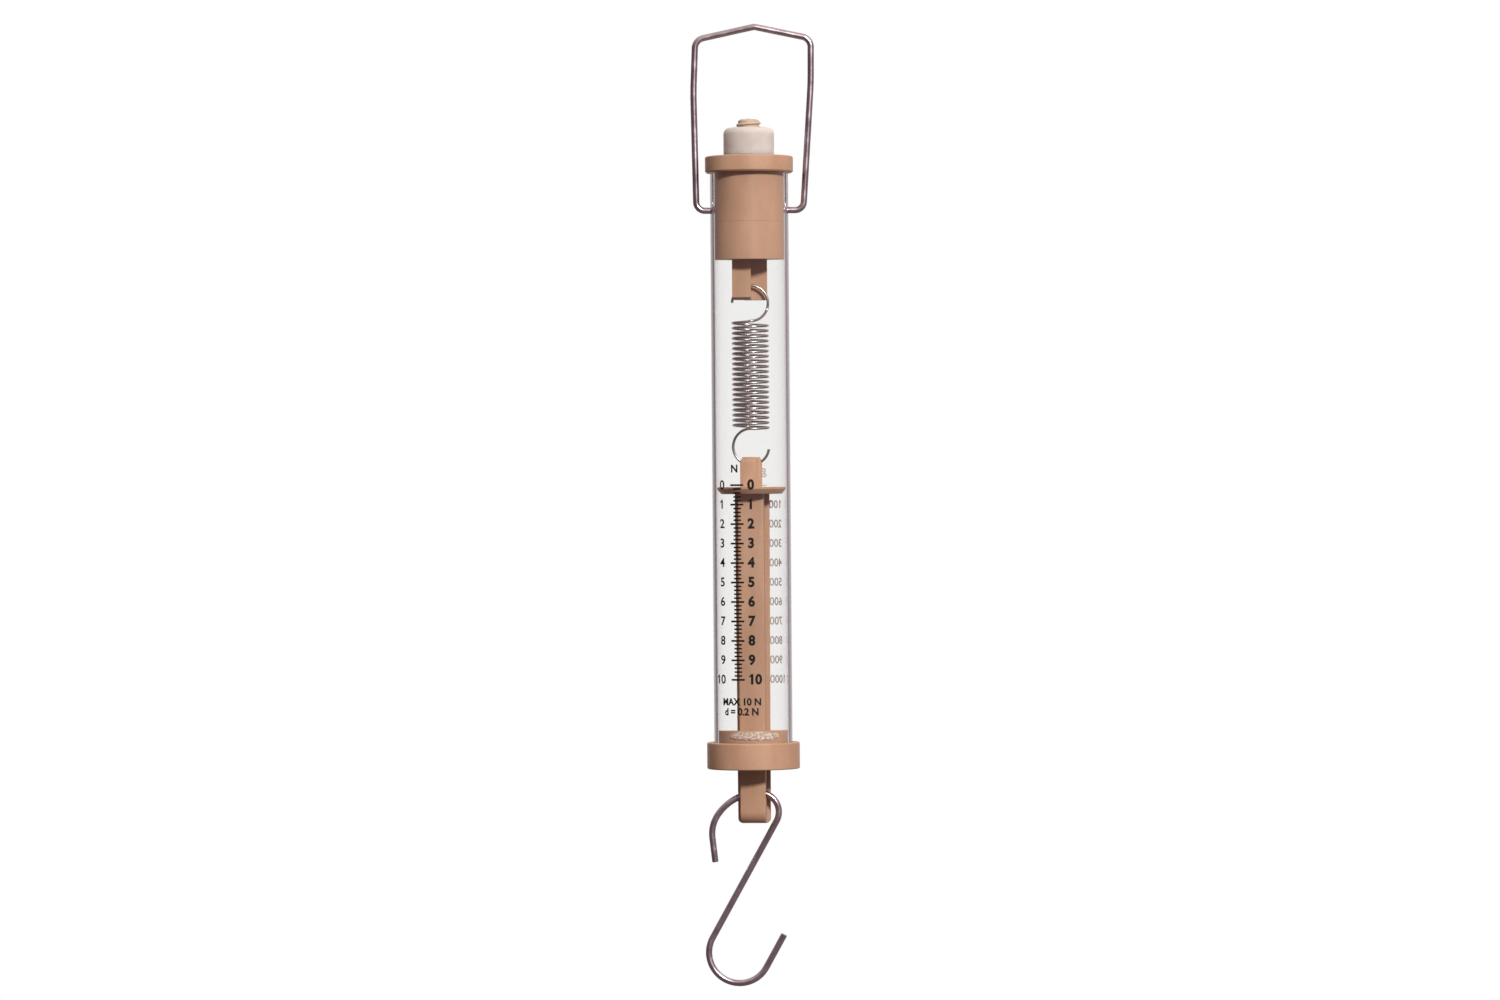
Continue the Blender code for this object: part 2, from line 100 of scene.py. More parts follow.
CEMENT_STEPS = 90
CEMENT_START = -38  # degrees round the tube from its front
CEMENT_SWEEP = 82
CEMENT_TOP = 0.35  # mean depths in mm below the top of the plug
CEMENT_BOTTOM = 3.0
CEMENT_LEAST = 0.2 * MM
CEMENT_EDGE = 0.1 * MM
CEMENT_SUNK = 0.02 * MM
CEMENT_CLEARANCE = 0.03 * MM
CEMENT_FADE = 0.35  # the lower, the blunter the ends
CEMENT_TOP_WAVES = (0.25, 0.2)  # in mm: the long ragged waves and the short rough ones
CEMENT_BOTTOM_WAVES = (-0.3, 0.5)
CEMENT_TOP_THINNING = 1.2  # in mm, at the ends
CEMENT_BOTTOM_THINNING = 1.0
RAGGED_SCALE = 9
RAGGED_SEED = 3.1
ROUGH_SCALE = 37
ROUGH_SEED = 7.7

NUT_RADIUS = (NUT_HIGH.x - NUT_LOW.x) / 2
NUT_ROUND = 2.0 * MM
NUT_BORE_ROUND = 0.5 * MM
NUT_FOOT_ROUND = 0.25 * MM
NUT_FOOT_BORE_ROUND = 0.2 * MM

STUD_RADIUS = 4.0 * MM
STUD_BORE = STUD_RADIUS + GAP
THREAD_ROOT = 3.35 * MM
THREAD_PITCH = 1.5 * MM
THREAD_BOTTOM = -50.0 * MM
THREAD_START = -30.0 * MM
THREAD_VALLEY = 0.22  # shares of half a turn that the root and each flank take
THREAD_FLANK = 0.5
THREAD_RUNOUT = 0.3 * MM
THREAD_COLUMNS = 96
THREAD_ROWS = 150
STUD_TIP_RADIUS = 3.0 * MM
STUD_TIP_BREAK = 0.25 * MM
STUD_TAPER = 0.8
STUD_GATE = [(0.15, 0.42), (0.42, 0.38), (0.5, 0.1), (0.62, 0.0), (1.6, 0.0)]  # (radius, rise) in mm
BLOCK_TOP = -55.5 * MM
BLOCK_HALF_WIDTH = 5.65 * MM
BLOCK_HALF_DEPTH = 4.0 * MM
FOOT_TOP = -72.0 * MM
WEB_LEFT = -1.7 * MM
WEB_RIGHT = 0.3 * MM
FOOT_PLATE = 2.0 * MM
FOOT_SLOPE = 0.9 * MM  # rise of the front plate's lower edge
FOOT_BEVEL = 0.2 * MM
WEB_HOLE_Z = -82.6 * MM
WEB_HOLE_RADIUS = 1.0 * MM

SPRING_WIRE_RADIUS = 0.425 * MM
SPRING_END_CHAMFER = 0.08 * MM
COIL_RADIUS = 5.675 * MM
COIL_TURNS = 21
COIL_POINTS = 40
COIL_TOP = -94.55 * MM
COIL_BOTTOM = -129.1 * MM
HOOK_RADIUS = 5.8 * MM
UPPER_HOOK_Z = -88.6 * MM
LOWER_HOOK_Z = -134.8 * MM
UPPER_HOOK_TIP = math.radians(178)
LOWER_HOOK_TIP = math.radians(352)
HOOK_STEP = math.radians(5)
HOOK_BLEND = math.radians(75)

PLUNGER_TURN = math.radians(-4)
POST_TOP = PLUNGER_HIGH.z
POST_HALF_WIDTH = 3.4 * MM
POST_FRONT = -1.6 * MM
POST_BACK = 2.0 * MM
POST_BEVEL = 1.2 * MM
POST_NECK = 1.8 * MM
POST_NARROWING = 0.2
PAD_FRONT = -4.0 * MM
PAD_RIGHT = 1.9 * MM
PAD_INSET = 0.1 * MM
POST_HOLE_Z = -140.05 * MM
POST_HOLE_RADIUS = 1.25 * MM
DISC_TOP = -147.8 * MM
DISC_RIM_BOTTOM = -148.5 * MM
DISC_BOTTOM = -150.0 * MM
DISC_RADIUS = (PLUNGER_HIGH.x - PLUNGER_LOW.x) / 2
DISC_BEVEL = 1.3 * MM
DISC_LOWER_RADIUS = DISC_RADIUS - DISC_BEVEL
DISC_EDGE = 0.12 * MM
DISC_ROUND = 0.2 * MM
SPINE_HALF_WIDTH = 4.1 * MM
SPINE_FRONT = -4.8 * MM
SPINE_ROUND = 4.0 * MM
STRIP_HALF_WIDTH = 5.25 * MM
STRIP_TOP_HALF_WIDTH = 5.65 * MM
STRIP_FRONT = 2.0 * MM
STRIP_BACK = 4.2 * MM
STRIP_ROUND = 1.6 * MM
ROD_BOTTOM = PLUNGER_LOW.z
INSET = 0.2 * MM
OVERLAP = 0.5 * MM
EYE_Y = -0.6 * MM
EYE_Z = -246.9 * MM
EYE_RADIUS = 2.0 * MM
STRIP_BEVEL = 0.25 * MM
SPINE_BEVEL = 0.35 * MM
POST_EDGE = 0.15 * MM

WIRE_RADIUS = 1.05 * MM
WIRE_END_CHAMFER = 0.2 * MM
PIN_END = 6.9 * MM
PIN_HOLE_RADIUS = WIRE_RADIUS + GAP
BAIL_CORNERS = [  # (x, z, bend radius) in mm
    (-17.1, -58.3, 2.8),
    (-17.8, -20.0, 60.0),
    (-17.1, -3.0, 3.4),
    (2.0, 1.1, 2.5),
    (20.3, -2.8, 3.4),
    (20.2, -17.0, 60.0),
    (17.5, -58.3, 2.8),
]
HOOK_TIP = Vector((-12.6, 0, -269.1)) * MM
HOOK_HEADING = math.radians(96.6)
HOOK_BENDS = [  # lengths and bend radii in mm, with turns in degrees
    ("straight", 7.9),
    ("bend", 11.0, -40.1),
    ("bend", 16.0, -58.6),
    ("bend", 6.15, -117.0),
    ("straight", 43.1),
    ("bend", 9.9, 180.0),
    ("straight", 12.2),
]

# The printed scale: x is an arc length from the front of the tube, and on the gram scale from its back
ZERO_RISE = 0.6 * MM
ZERO_Z = DISC_TOP + ZERO_RISE
NEWTON = 6.26 * MM
NEWTONS = 10
LINES_PER_NEWTON = 5
GRAMS_PER_NEWTON = 100
INK = 0.025 * MM
INK_OUT = 0.8  # shares of the ink's thickness outside the tube's surface and inside it
INK_IN = 0.2
INK_STEP = 0.4 * MM
LONG_LINE = {"left": -7.2 * MM, "right": -2.65 * MM, "height": 0.6 * MM}
SHORT_LINE = {"left": -6.1 * MM, "right": -3.5 * MM, "height": 0.54 * MM}
LONG_GRAM_LINE = {"left": -5.6 * MM, "right": -3.2 * MM, "height": 0.3 * MM}
SHORT_GRAM_LINE = {"left": -4.8 * MM, "right": -3.2 * MM, "height": 0.3 * MM}
NUMERAL = {"x": -1.3 * MM, "height": 3.15 * MM, "squeeze": 0.96, "bold": 0.045}
SIDE_NUMERAL = {"x": -9.6 * MM, "height": 2.9 * MM, "squeeze": 1.1, "bold": 0.02, "align": "RIGHT"}
NEWTON_SIGN = {"x": -7.0 * MM, "height": 2.5 * MM, "squeeze": 0.95, "bold": 0.03}
NOTE = {"x": -4.1 * MM, "height": 2.3 * MM, "squeeze": 0.95, "bold": 0.035, "align": "CENTER"}
GRAM_NUMERAL = {"x": -6.2 * MM, "height": 2.6 * MM, "squeeze": 1.2, "bold": 0.02, "align": "RIGHT"}
GRAM_SIGN = {"x": -5.4 * MM, "height": 3.0 * MM, "squeeze": 1.2, "bold": 0.02}
NEWTON_SIGN_RISE = 5.2 * MM
GRAM_SIGN_RISE = 4.9 * MM
NOTES = [("MAX 10 N", 7.2 * MM), ("d = 0.2 N", 10.4 * MM)]  # with their drop below the last line

# The built-in font, in shares of its size
CAP_HEIGHT = 0.72
FLAG_WIDTH = 0.13  # a 1 gets a flag, which the font's own lacks
FLAG_TOP = 0.16
FLAG_UNDERSIDE = 0.27
FLAG_JOINT = 0.17
FONT_CURVE_STEPS = 5

# Studio
FLOOR_Z = -0.62
FLOOR_RADIUS = 3.0
FLOOR_SIDES = 96
ROOM_DEPTH = (-0.2, 0.6)  # spans of the direction's y and z in which the room's light changes
ROOM_HEIGHT = (0.25, 0.9)
BACKDROP_START = math.radians(34)
BACKDROP_END = math.radians(46)
KEY_AZIMUTH = math.radians(23)
KEY_ELEVATION = math.radians(26)
KEY_DISTANCE = 2.0
KEY_SIZE = 0.22
KEY_POWER = 41
VIEW_WIDTH = 485.4 * MM  # at the axis of the tube
SENSOR_WIDTH = 36  # mm, as Blender's cameras have it
CAMERA_DISTANCE = 1.8
CAMERA_LENS = SENSOR_WIDTH * CAMERA_DISTANCE / VIEW_WIDTH
CAMERA_X = -2.5 * MM
CAMERA_Z = -152.0 * MM
CAMERA_ROLL = math.radians(-0.45)
CLIP_START = 0.05
CLIP_END = 50

# Facets
TURN_STEPS = 160
HOLE_SIDES = 48
CORNER_STEP = math.radians(9)
BEND_STEP = math.radians(4)
SHARP = math.radians(32)
MERGE = 0.005 * MM
BEVEL_STEPS = 3
BEVEL_ANGLE = math.radians(40)
WIRE_FACETS = 6  # as a curve's bevel resolution


# ---- Looks: linear colours, roughness from its smoothest to its dullest -----------------------
TAN = ((0.43, 0.245, 0.150), (0.50, 0.295, 0.190))
# Painted light: a paler copy of the tan for the stud, standing in for the bright, washed-out look of its
# tip; the stud is moulded in the same tan as the hanger.
TAN_PAINTED_LIGHT = ((0.49, 0.36, 0.27), (0.55, 0.41, 0.31))
TAN_SPECK = (0.33, 0.18, 0.105)
TAN_SPECK_STRENGTH = 0.35
TAN_RUBBED = (0.64, 0.43, 0.30)
TAN_RUBBED_STRENGTH = 0.3
TAN_ROUGHNESS = (0.44, 0.58)
TAN_GLOSS = 0.3
TAN_DEPTH_COLOUR = (1.0, 0.5, 0.3)
TAN_DEPTH = 0.6 * MM
TAN_DEPTH_SHARE = 0.1
TAN_BUMP = 0.01 * MM
RUBBED_EDGE = 0.25 * MM
NYLON = ((0.50, 0.45, 0.41), (0.56, 0.51, 0.465))
NYLON_ROUGHNESS = (0.5, 0.62)
NYLON_GLOSS = 0.2
NYLON_DEPTH_COLOUR = (1.0, 0.85, 0.75)
NYLON_DEPTH = 9.0 * MM
NYLON_BUMP = 0.012 * MM
PLATED = ((0.45, 0.36, 0.39), (0.52, 0.425, 0.455))
STEEL = ((0.42, 0.37, 0.365), (0.50, 0.45, 0.44))
METAL_ROUGHNESS = (0.23, 0.36)
METAL_BUMP = 0.0006 * MM
CLEAR_FACE = (0.985, 0.985, 0.975)
# Painted shade: the dark tint the clear plastic takes on towards the tube's edges, standing in for the dark
# room seen in them.
CLEAR_PAINTED_EDGE_SHADE = (0.34, 0.26, 0.29)
CLEAR_TURN = (0.56, 0.88)  # of the layer weight, from a face to an edge
CLEAR_ROUGHNESS = (0.0, 0.05)
CLEAR_IOR = 1.49
BLACK_INK = ((0.006, 0.004, 0.004), (0.018, 0.013, 0.012))
FAINT_INK = ((0.56, 0.54, 0.52), (0.66, 0.64, 0.62))
INK_ROUGHNESS = 0.55
INK_GLOSS = 0.2
CEMENT = ((0.42, 0.27, 0.19), (0.70, 0.62, 0.55))
CEMENT_ROUGHNESS = 0.45
CEMENT_BUMP = 0.05 * MM
FLOOR = ((0.86, 0.86, 0.85), (0.9, 0.9, 0.89))
FLOOR_ROUGHNESS = 0.8
ROOM_FRONT = (0.13, 0.105, 0.11)
ROOM_BACK = (0.20, 0.145, 0.16)
ROOM_RIGHT = (0.14, 0.12, 0.125)
ROOM_TOP = (0.75, 0.72, 0.66)
BACKDROP = (1.0, 1.0, 0.98)

# Grain: features per metre, scaling along x, y and z, and the span of the noise that is used
FLOW_GRAIN = 140
SPECKLE_GRAIN = 1500
CLOUD_GRAIN = 220
NYLON_GRAIN = 900
TARNISH_GRAIN = 260
DRAWING_GRAIN = 3200
SCUFF_GRAIN = 900
INK_GRAIN = 2600
CEMENT_GRAIN = 1400
FLOOR_GRAIN = 6
ALONG_MOULD = (1, 1, 0.35)
ALONG_WIRE = (1, 1, 0.05)
ALONG_TUBE = (1, 1, 0.15)
EVEN = (1, 1, 1)
PATCHES = (0.35, 0.68)
CLOUDS = (0.35, 0.7)
WHOLE_NOISE = (0.3, 0.7)
HIGH_SPOTS = (0.5, 0.8)
SPECKS = (0.6, 0.72)
MOTTLE = (0.42, 0.6)
EDGE_SAMPLES = 4
EDGE_SPAN = (0.99, 0.8)  # of the dot product of the bevelled and the true normal


# ---- Materials --------------------------------------------------------------------------------
def new_material(name, roughness=0.5, metallic=0.0):
    material = bpy.data.materials.new(name)
    material.use_nodes = True
    shader = material.node_tree.nodes["Principled BSDF"]
    shader.inputs["Roughness"].default_value = roughness
    shader.inputs["Metallic"].default_value = metallic
    return material, material.node_tree, shader


def node(tree, kind, **values):
    """A node with its inputs set by name; an input given as a socket is linked."""
    made = tree.nodes.new(kind)
    for key, value in values.items():
        socket = made.inputs[key]
        if isinstance(value, bpy.types.NodeSocket):
            tree.links.new(value, socket)
        else:
            socket.default_value = value
    return made


def grain(tree, scale, detail=3.0, roughness=0.5, stretch=EVEN):
    """Noise fixed to the object, with its size in features per metre."""
    place = tree.nodes.new("ShaderNodeTexCoord")
    mapping = node(tree, "ShaderNodeMapping", Vector=place.outputs["Object"], Scale=stretch)
    made = node(
        tree,
        "ShaderNodeTexNoise",
        Vector=mapping.outputs["Vector"],
        Scale=scale,
        Detail=detail,
        Roughness=roughness,
    )
    return made.outputs["Fac"]


def ramp(tree, factor, span, first, last):
    """Maps factor from the span low..high to first..last, numbers or colours."""
    if isinstance(first, tuple):
        return blend_colours(tree, ramp(tree, factor, span, 0.0, 1.0), first, last)
    made = tree.nodes.new("ShaderNodeMapRange")
    tree.links.new(factor, made.inputs[0])
    for index, value in enumerate((*span, first, last)):
        made.inputs[index + 1].default_value = value
    return made.outputs[0]


def blend_colours(tree, share, first, second, kind="MIX"):
    """Mixes two colours, each a tuple or a socket; at share 0 the first shows alone."""
    mix = tree.nodes.new("ShaderNodeMix")
    mix.data_type = "RGBA"
    mix.blend_type = kind
    for index, value in ((0, share), (6, first), (7, second)):
        if isinstance(value, bpy.types.NodeSocket):
            tree.links.new(value, mix.inputs[index])
        else:
            mix.inputs[index].default_value = (*value, 1) if isinstance(value, tuple) else value
    return mix.outputs[2]


def edge_mask(tree, radius):
    """1 along convex and concave edges, 0 on open faces."""
    rounded_normal = node(tree, "ShaderNodeBevel", Radius=radius)
    rounded_normal.samples = EDGE_SAMPLES
    geometry = tree.nodes.new("ShaderNodeNewGeometry")
    dot = tree.nodes.new("ShaderNodeVectorMath")
    dot.operation = "DOT_PRODUCT"
    tree.links.new(rounded_normal.outputs["Normal"], dot.inputs[0])
    tree.links.new(geometry.outputs["Normal"], dot.inputs[1])
    return ramp(tree, dot.outputs["Value"], EDGE_SPAN, 0.0, 1.0)


def bump(tree, shader, height, depth):
    made = node(tree, "ShaderNodeBump", Height=height, Distance=depth, Strength=1.0)
    tree.links.new(made.outputs["Normal"], shader.inputs["Normal"])


def tan_plastic(name, colours):
    """Moulded tan plastic: faint flow marks, pale rubbed edges, a fine satin grain."""
    material, tree, shader = new_material(name)
    flow = grain(tree, FLOW_GRAIN, detail=4, stretch=ALONG_MOULD)
    speckle = grain(tree, SPECKLE_GRAIN, detail=2)
    colour = ramp(tree, flow, PATCHES, *colours)
    specks = ramp(tree, speckle, SPECKS, 0.0, TAN_SPECK_STRENGTH)
    colour = blend_colours(tree, specks, colour, TAN_SPECK)
    edges = ramp(tree, edge_mask(tree, RUBBED_EDGE), (0, 1), 0.0, TAN_RUBBED_STRENGTH)
    colour = blend_colours(tree, edges, colour, TAN_RUBBED)
    tree.links.new(colour, shader.inputs["Base Color"])
    tree.links.new(ramp(tree, flow, WHOLE_NOISE, *TAN_ROUGHNESS), shader.inputs["Roughness"])
    shader.inputs["Specular IOR Level"].default_value = TAN_GLOSS
    shader.inputs["Subsurface Weight"].default_value = TAN_DEPTH_SHARE
    shader.inputs["Subsurface Radius"].default_value = TAN_DEPTH_COLOUR
    shader.inputs["Subsurface Scale"].default_value = TAN_DEPTH
    bump(tree, shader, speckle, TAN_BUMP)
    return material


def white_nylon():
    """Natural nylon: milky, a little warm, with soft moulding clouds."""
    material, tree, shader = new_material("white_nylon")
    clouds = grain(tree, CLOUD_GRAIN)
    tree.links.new(ramp(tree, clouds, CLOUDS, *NYLON), shader.inputs["Base Color"])
    tree.links.new(ramp(tree, clouds, WHOLE_NOISE, *NYLON_ROUGHNESS), shader.inputs["Roughness"])
    shader.inputs["Specular IOR Level"].default_value = NYLON_GLOSS
    shader.inputs["Subsurface Weight"].default_value = 1.0
    shader.inputs["Subsurface Radius"].default_value = NYLON_DEPTH_COLOUR
    shader.inputs["Subsurface Scale"].default_value = NYLON_DEPTH
    bump(tree, shader, grain(tree, NYLON_GRAIN), NYLON_BUMP)
    return material


def metal(name, colours, streaks):
    """Drawn wire: fine lines along it, soft tarnish, and a smooth plated sheen."""
    material, tree, shader = new_material(name, metallic=1.0)
    tarnish = grain(tree, TARNISH_GRAIN, detail=4)
    lines = grain(tree, DRAWING_GRAIN, detail=2, stretch=streaks)
    tree.links.new(ramp(tree, tarnish, PATCHES, *colours), shader.inputs["Base Color"])
    tree.links.new(ramp(tree, tarnish, WHOLE_NOISE, *METAL_ROUGHNESS), shader.inputs["Roughness"])
    bump(tree, shader, lines, METAL_BUMP)
    return material


def clear_plastic():
    """Extruded acrylic: clear, with a trace of handling marks in its gloss, and painted shade that darkens
    its colour towards its edges.
    """
    material, tree, shader = new_material("clear_plastic")
    facing = node(tree, "ShaderNodeLayerWeight", Blend=0.5).outputs["Facing"]
    # Painted shade: the colour darkens towards the edge tint where the surface turns away from view.
    tree.links.new(ramp(tree, facing, CLEAR_TURN, CLEAR_FACE, CLEAR_PAINTED_EDGE_SHADE), shader.inputs["Base Color"])
    shader.inputs["Transmission Weight"].default_value = 1.0
    shader.inputs["IOR"].default_value = CLEAR_IOR
    scuffs = grain(tree, SCUFF_GRAIN, detail=4, roughness=0.7, stretch=ALONG_TUBE)
    tree.links.new(ramp(tree, scuffs, HIGH_SPOTS, *CLEAR_ROUGHNESS), shader.inputs["Roughness"])
    return material


def ink(name, colours):
    """Screen ink: matt, slightly uneven where it is thin."""
    material, tree, shader = new_material(name, roughness=INK_ROUGHNESS)
    shader.inputs["Specular IOR Level"].default_value = INK_GLOSS
    thin = grain(tree, INK_GRAIN)
    tree.links.new(ramp(tree, thin, HIGH_SPOTS, *colours), shader.inputs["Base Color"])
    return material


def cement():
    """Dried solvent cement: whitish where it is thick, tan where it is thin."""
    material, tree, shader = new_material("cement", roughness=CEMENT_ROUGHNESS)
    mottle = grain(tree, CEMENT_GRAIN, detail=4, roughness=0.65)
    tree.links.new(ramp(tree, mottle, MOTTLE, *CEMENT), shader.inputs["Base Color"])
    bump(tree, shader, mottle, CEMENT_BUMP)
    return material


def floor_material():
    material, tree, shader = new_material("studio_floor", roughness=FLOOR_ROUGHNESS)
    mottle = grain(tree, FLOOR_GRAIN)
    tree.links.new(ramp(tree, mottle, WHOLE_NOISE, *FLOOR), shader.inputs["Base Color"])
    return material


# ---- Shapes -----------------------------------------------------------------------------------
def eased(share):
    """Runs from 0 to 1 with a level start and end."""
    return share * share * (3 - 2 * share)


def circle(radius, z, count):
    """Points round the axis of the tube."""
    angles = [2 * math.pi * k / count for k in range(count)]
    return [(radius * math.cos(angle), radius * math.sin(angle), z) for angle in angles]


def extrude(bm, corners, step):
    """Adds a solid between an outline and the same outline moved by step."""
    face = bm.faces.new([bm.verts.new(corner) for corner in corners])
    moved = bmesh.ops.extrude_face_region(bm, geom=[face])
    verts = [part for part in moved["geom"] if isinstance(part, bmesh.types.BMVert)]
    bmesh.ops.translate(bm, vec=step, verts=verts)


def evaluated_mesh(obj):
    """A new mesh of an object or curve, with its modifiers applied."""
    bpy.context.view_layer.update()
    return bpy.data.meshes.new_from_object(obj.evaluated_get(bpy.context.evaluated_depsgraph_get()))


def mesh_object(name, bm):
    mesh = bpy.data.meshes.new(name)
    bmesh.ops.recalc_face_normals(bm, faces=bm.faces)
    bm.to_mesh(mesh)
    bm.free()
    obj = bpy.data.objects.new(name, mesh)
    bpy.context.scene.collection.objects.link(obj)
    return obj


def rounded(corners, step=CORNER_STEP, closed=False):
    """Points along a polyline of (a, b, radius) corners, with an arc at each corner."""
    count = len(corners)
    points = []
    for i, (a, b, radius) in enumerate(corners):
        here = Vector((a, b))
        if radius == 0 or not closed and i in (0, count - 1):
            points.append(here)
            continue
        before = (Vector(corners[i - 1][:2]) - here).normalized()
        after = (Vector(corners[(i + 1) % count][:2]) - here).normalized()
        half = before.angle(after) / 2
        middle = here + (before + after).normalized() * radius / math.sin(half)
        start = here + before * radius / math.tan(half) - middle
        sweep = (-start).angle_signed(middle - here - after * radius / math.tan(half))
        arcs = max(1, math.ceil(abs(sweep) / step))
        for k in range(arcs + 1):
            points.append(middle + Matrix.Rotation(-sweep * k / arcs, 2) @ start)
    return points


def turned(name, profile, bored=False, steps=TURN_STEPS):
    """A solid turned about Z. The profile lists (radius, z, rounding), down the outer side."""
    points = rounded(profile, closed=bored)
    bm = bmesh.new()
    verts = [bm.verts.new((radius, 0, z)) for radius, z in points]
    edges = [bm.edges.new(pair) for pair in zip(verts, verts[1:])]
    if bored:
        edges.append(bm.edges.new((verts[-1], verts[0])))
    bmesh.ops.spin(
        bm,
        geom=verts + edges,
        cent=(0, 0, 0),
        axis=(0, 0, 1),
        angle=2 * math.pi,
        steps=steps,
        use_merge=True,
    )
    bmesh.ops.remove_doubles(bm, verts=bm.verts, dist=MERGE)
    return mesh_object(name, bm)


def box(name, low, high):
    low, high = Vector(low), Vector(high)
    bm = bmesh.new()
    bmesh.ops.create_cube(bm, size=1.0)
    bmesh.ops.scale(bm, vec=high - low, verts=bm.verts)
    bmesh.ops.translate(bm, vec=(low + high) / 2, verts=bm.verts)
    return mesh_object(name, bm)


def rod_along_x(name, radius, half_length, y, z):
    bm = bmesh.new()
    bmesh.ops.create_cone(
        bm, cap_ends=True, segments=HOLE_SIDES, radius1=radius, radius2=radius, depth=2 * half_length
    )
    bmesh.ops.rotate(bm, verts=bm.verts, matrix=Matrix.Rotation(math.pi / 2, 3, "Y"))
    bmesh.ops.translate(bm, vec=(0, y, z), verts=bm.verts)
    return mesh_object(name, bm)


def plate(name, outline, across, low, high):
    """An outline extruded from low to high along X or Y; its second number is z."""
    bm = bmesh.new()
    if across == "X":
        extrude(bm, [(low, a, z) for a, z in outline], (high - low, 0, 0))
    else:
        extrude(bm, [(a, low, z) for a, z in outline], (0, high - low, 0))
    return mesh_object(name, bm)


def bevel(obj, width):
    modifier = obj.modifiers.new("bevel", "BEVEL")
    modifier.width = width
    modifier.segments = BEVEL_STEPS
    modifier.limit_method = "ANGLE"
    modifier.angle_limit = BEVEL_ANGLE
    modifier.use_clamp_overlap = True
    return obj


def applied(obj):
    """Makes the modifiers part of the mesh."""
    mesh = evaluated_mesh(obj)
    obj.modifiers.clear()
    obj.data = mesh
    return obj


def combine(obj, tools, operation):
    """Cuts the tools from obj, or joins them to it, and removes them."""
    for tool in tools:
        modifier = obj.modifiers.new(tool.name, "BOOLEAN")
        modifier.operation = operation
        modifier.solver = "EXACT"
        modifier.object = tool
    applied(obj)
    for tool in tools:
        bpy.data.objects.remove(tool, do_unlink=True)
    return obj


def loft(name, rings):
    """A closed body through rings of points, each with the same number of points."""
    bm = bmesh.new()
    rows = [[bm.verts.new(point) for point in ring] for ring in rings]
    for row, after in zip(rows, rows[1:]):
        for k in range(len(row)):
            n = (k + 1) % len(row)
            bm.faces.new((row[k], row[n], after[n], after[k]))
    bm.faces.new(rows[0])
    bm.faces.new(rows[-1])
    return mesh_object(name, bm)


def wire_curve(name, points, radius, end_chamfer):
    """Round wire along a polyline, its cut ends slightly broken."""
    first = points[0] + (points[1] - points[0]).normalized() * end_chamfer
    last = points[-1] + (points[-2] - points[-1]).normalized() * end_chamfer
    points = [points[0], first] + points[1:-1] + [last, points[-1]]
    curve = bpy.data.curves.new(name, "CURVE")
    curve.dimensions = "3D"
    curve.bevel_depth = radius
    curve.bevel_resolution = WIRE_FACETS
    curve.use_fill_caps = True
    spline = curve.splines.new("POLY")
    spline.points.add(len(points) - 1)
    for point, place in zip(spline.points, points):
        point.co = (*place, 1)
    for end in (0, -1):
        spline.points[end].radius = 1 - end_chamfer / radius
    spline.use_smooth = True
    obj = bpy.data.objects.new(name, curve)
    bpy.context.scene.collection.objects.link(obj)
    bm = bmesh.new()
    bm.from_mesh(evaluated_mesh(obj))
    bpy.data.objects.remove(obj, do_unlink=True)
    bmesh.ops.remove_doubles(bm, verts=bm.verts, dist=MERGE)
    return mesh_object(name, bm)


def finish_piece(obj, material, body, nodes=(), turn=0.0, smooth=True):
    """Puts a piece on the axis of the tube, gives it its finish and lets it ride on its body."""
    obj.data.transform(Matrix.Translation((AXIS_X, 0, 0)) @ Matrix.Rotation(turn, 4, "Z"))
    obj.data.materials.clear()
    obj.data.materials.append(material)
    if smooth:
        obj.data.shade_smooth()
        obj.data.set_sharp_from_angle(angle=SHARP)
    if body:
        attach(obj, body)
    if nodes:
        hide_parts(*nodes)
    return obj


# ---- Casing -----------------------------------------------------------------------------------
def make_tube(material):
    profile = [
        (TUBE_BORE, TUBE_HIGH.z, TUBE_EDGE),
        (TUBE_RADIUS, TUBE_HIGH.z, TUBE_EDGE),
        (TUBE_RADIUS, TUBE_LOW.z, TUBE_EDGE),
        (TUBE_BORE, TUBE_LOW.z, TUBE_EDGE),
    ]
    tube = turned("clear_tube", profile, bored=True)
    holes = rod_along_x("holes", PIN_HOLE_RADIUS, THROUGH * TUBE_RADIUS, 0, PIN_Z)
    combine(tube, [holes], "DIFFERENCE")
    finish_piece(tube, material, "casing", ["tube"])
    tube.visible_shadow = False  # light reaches the inside as if the wall weren't there
    tube.visible_diffuse = False
    tube.visible_glossy = False
    return tube


def make_top_cap(material):
    profile = [
        (STUD_BORE, TOP_HIGH.z, CAP_ROUND),
        (TOP_FLANGE_RADIUS, TOP_HIGH.z, FLANGE_CHAMFER),
        (TOP_FLANGE_RADIUS, TOP_FLANGE_BOTTOM + FLANGE_CHAMFER, CHAMFER_ROUND),
        (TOP_FLANGE_RADIUS - FLANGE_CHAMFER, TOP_FLANGE_BOTTOM, CHAMFER_ROUND),
        (PLUG_RADIUS, TOP_FLANGE_BOTTOM, 0),
        (PLUG_RADIUS, PARTING_Z + PARTING_SIZE, 0),
        (PLUG_RADIUS - PARTING_SIZE, PARTING_Z, 0),
        (PLUG_RADIUS, PARTING_Z - PARTING_SIZE, 0),
        (PLUG_RADIUS, TOP_LOW.z, CAP_ROUND),
        (STUD_BORE, TOP_LOW.z, 0),
    ]
    cap = turned("upper_cap", profile, bored=True)
    half_width = BLOCK_HALF_WIDTH + GAP
    half_depth = BLOCK_HALF_DEPTH + GAP
    pocket = box(
        "pocket",
        (-half_width, -half_depth, TOP_LOW.z - OVERLAP),
        (half_width, half_depth, POCKET_TOP),
    )
    holes = rod_along_x("holes", PIN_HOLE_RADIUS, THROUGH * PLUG_RADIUS, 0, PIN_Z)
    combine(cap, [pocket, holes], "DIFFERENCE")
    return finish_piece(cap, material, "casing", ["top_cap"])


